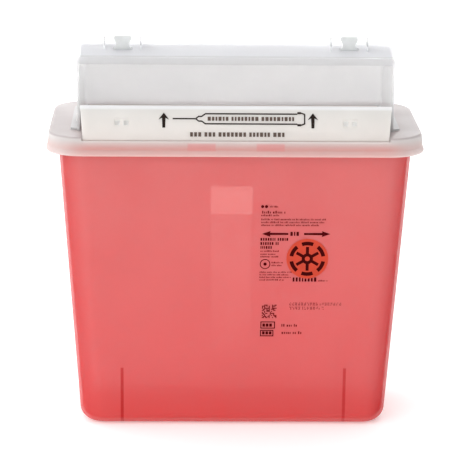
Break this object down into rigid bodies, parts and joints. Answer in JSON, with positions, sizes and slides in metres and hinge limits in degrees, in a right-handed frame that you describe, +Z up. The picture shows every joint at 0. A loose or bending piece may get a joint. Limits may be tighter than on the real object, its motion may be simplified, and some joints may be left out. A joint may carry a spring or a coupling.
{
  "type": "sharps container",
  "caption": "Tapered red translucent sharps container for a wall bracket, with a hooded clip-on lid, a front-lifted tilting drop tray and push-down lock tabs.",
  "frame": {"origin": "centre of the footprint on the surface that the container stands on", "axes": "+Z up, -Y towards the front where sharps go in, +X to the right seen from the front"},
  "size_m": [0.273, 0.14, 0.2895],
  "materials": {
    "red_tub": "translucent red polypropylene, fine moulded satin",
    "natural_lid": "frosted natural polypropylene",
    "natural_hood": "frosted natural polypropylene",
    "white_tray": "warm white polypropylene, low sheen",
    "lock_tab": "frosted natural polypropylene",
    "disc_label": "orange-red film label",
    "rear_label": "white film label"
  },
  "bodies": {
    "container": {"tub": "red_tub", "lid_deck": "natural_lid", "hood": "natural_hood", "hazard_disc": "disc_label", "rear_label": "rear_label"},
    "tray": {"drop_tray": "white_tray"},
    "lock_left": {"lock_tab_left": "lock_tab"},
    "lock_right": {"lock_tab_right": "lock_tab"}
  },
  "joints": [
    {"name": "tray_tilt", "type": "hinge", "parent": "container", "child": "tray", "pos_m": [0, -0.0191, 0.2269], "axis": [-1, 0, 0], "range_deg": [0, 65]},
    {"name": "lock_left_push", "type": "slide", "parent": "container", "child": "lock_left", "axis": [0, 0, -1], "range_m": [0, 0.008]},
    {"name": "lock_right_push", "type": "slide", "parent": "container", "child": "lock_right", "axis": [0, 0, -1], "range_m": [0, 0.008]}
  ]
}
